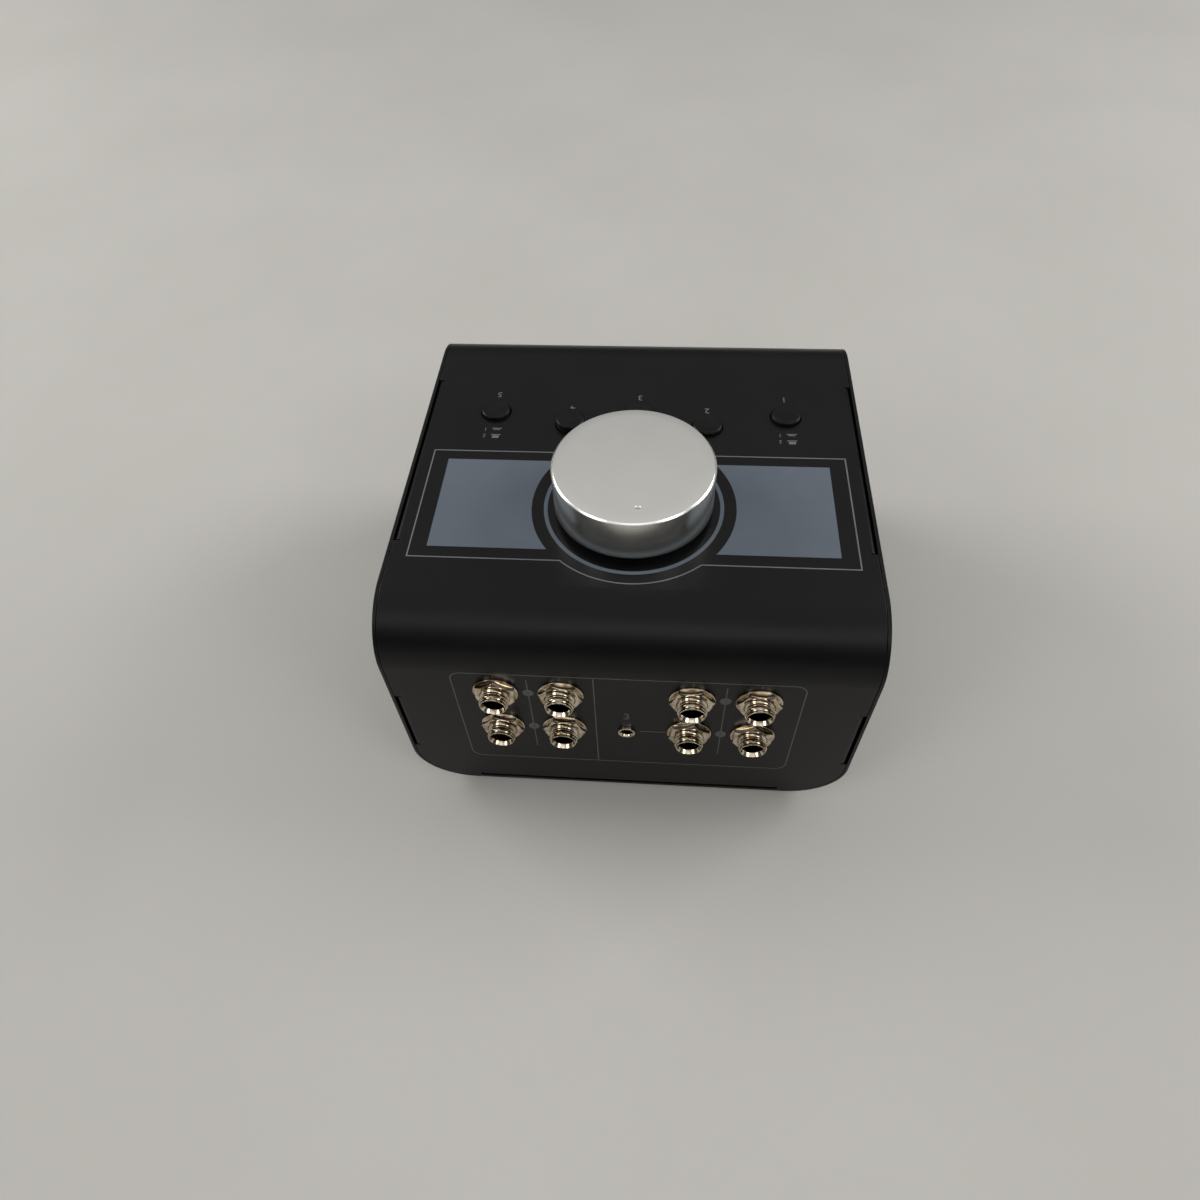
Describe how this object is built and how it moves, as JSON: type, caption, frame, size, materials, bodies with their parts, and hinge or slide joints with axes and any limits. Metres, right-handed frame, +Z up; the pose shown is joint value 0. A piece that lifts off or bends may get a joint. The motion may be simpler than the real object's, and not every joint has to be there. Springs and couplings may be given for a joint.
{
  "type": "studio monitor controller",
  "caption": "Small black desktop audio box with a large silver volume knob and push buttons on top and rows of phone jacks on the rear.",
  "frame": {"origin": "on the surface that the feet stand on, under the middle of the whole part's outline", "axes": "+Z up; +Y towards the rear, the way the jacks face; +X to the right of a user sitting at -Y"},
  "size_m": [0.15, 0.154, 0.11],
  "materials": {
    "black_coat": "satin powder coat",
    "foot_rubber": "matte",
    "black_oxide": "black oxide, satin",
    "plated_steel": "zinc plated",
    "nickel": "polished nickel plate",
    "housing_plastic": "moulded, satin",
    "tinned_pins": "tinned",
    "circuit_board": "solder mask over glass laminate",
    "knob_aluminium": "fine turned, satin anodised",
    "insert_plastic": "moulded",
    "pot_metal": "plated",
    "pot_laminate": "phenolic laminate",
    "button_plastic": "moulded, fine satin",
    "switch_plastic": "moulded",
    "spring_steel": "drawn wire"
  },
  "bodies": {
    "case": {"aux_jack_housing": "housing_plastic", "aux_jack_nose": "nickel", "aux_jack_spacer": "housing_plastic", "base_tray": "black_coat", "board_screws": "plated_steel", "board_standoffs": "plated_steel", "control_board": "circuit_board", "dim_spring": "spring_steel", "dim_switch": "switch_plastic", "floor_clinch_nuts": "plated_steel", "floor_screws": "black_oxide", "header_pins": "tinned_pins", "header_plug": "housing_plastic", "header_socket": "housing_plastic", "input_select_spring": "spring_steel", "input_select_switch": "switch_plastic", "jack_board": "circuit_board", "jack_housings": "housing_plastic", "jack_noses": "nickel", "jack_nuts": "nickel", "jack_pins": "tinned_pins", "jack_washers": "nickel", "mono_spring": "spring_steel", "mono_switch": "switch_plastic", "mute_spring": "spring_steel", "mute_switch": "switch_plastic", "output_select_spring": "spring_steel", "output_select_switch": "switch_plastic", "pot_bushing": "pot_metal", "pot_lugs": "tinned_pins", "pot_nut": "pot_metal", "pot_wafers": "pot_laminate", "pot_washer": "pot_metal", "rubber_feet": "foot_rubber", "side_clinch_nuts": "plated_steel", "side_screws": "black_oxide", "top_cover": "black_coat"},
    "knob": {"volume_knob": "knob_aluminium", "knob_insert": "insert_plastic", "pot_shaft": "pot_metal"},
    "input_select_button": {"input_select_cap": "button_plastic", "input_select_stem": "switch_plastic"},
    "mono_button": {"mono_cap": "button_plastic", "mono_stem": "switch_plastic"},
    "mute_button": {"mute_cap": "button_plastic", "mute_stem": "switch_plastic"},
    "dim_button": {"dim_cap": "button_plastic", "dim_stem": "switch_plastic"},
    "output_select_button": {"output_select_cap": "button_plastic", "output_select_stem": "switch_plastic"}
  },
  "joints": [
    {"name": "volume_turn", "type": "hinge", "parent": "case", "child": "knob", "pos_m": [0, 0.0184, 0.095], "axis": [0, 0, 1], "range_deg": [-156.5, 143.5]},
    {"name": "input_select_press", "type": "slide", "parent": "case", "child": "input_select_button", "axis": [0, 0, -1], "range_m": [-0.0014, 0.0008], "stiffness_N_per_m": 600, "deforming": ["input_select_spring"]},
    {"name": "mono_press", "type": "slide", "parent": "case", "child": "mono_button", "axis": [0, 0, -1], "range_m": [-0.0014, 0.0008], "stiffness_N_per_m": 600, "deforming": ["mono_spring"]},
    {"name": "mute_press", "type": "slide", "parent": "case", "child": "mute_button", "axis": [0, 0, -1], "range_m": [-0.0014, 0.0008], "stiffness_N_per_m": 600, "deforming": ["mute_spring"]},
    {"name": "dim_press", "type": "slide", "parent": "case", "child": "dim_button", "axis": [0, 0, -1], "range_m": [0, 0.0022], "stiffness_N_per_m": 600, "deforming": ["dim_spring"]},
    {"name": "output_select_press", "type": "slide", "parent": "case", "child": "output_select_button", "axis": [0, 0, -1], "range_m": [-0.0014, 0.0008], "stiffness_N_per_m": 600, "deforming": ["output_select_spring"]}
  ]
}
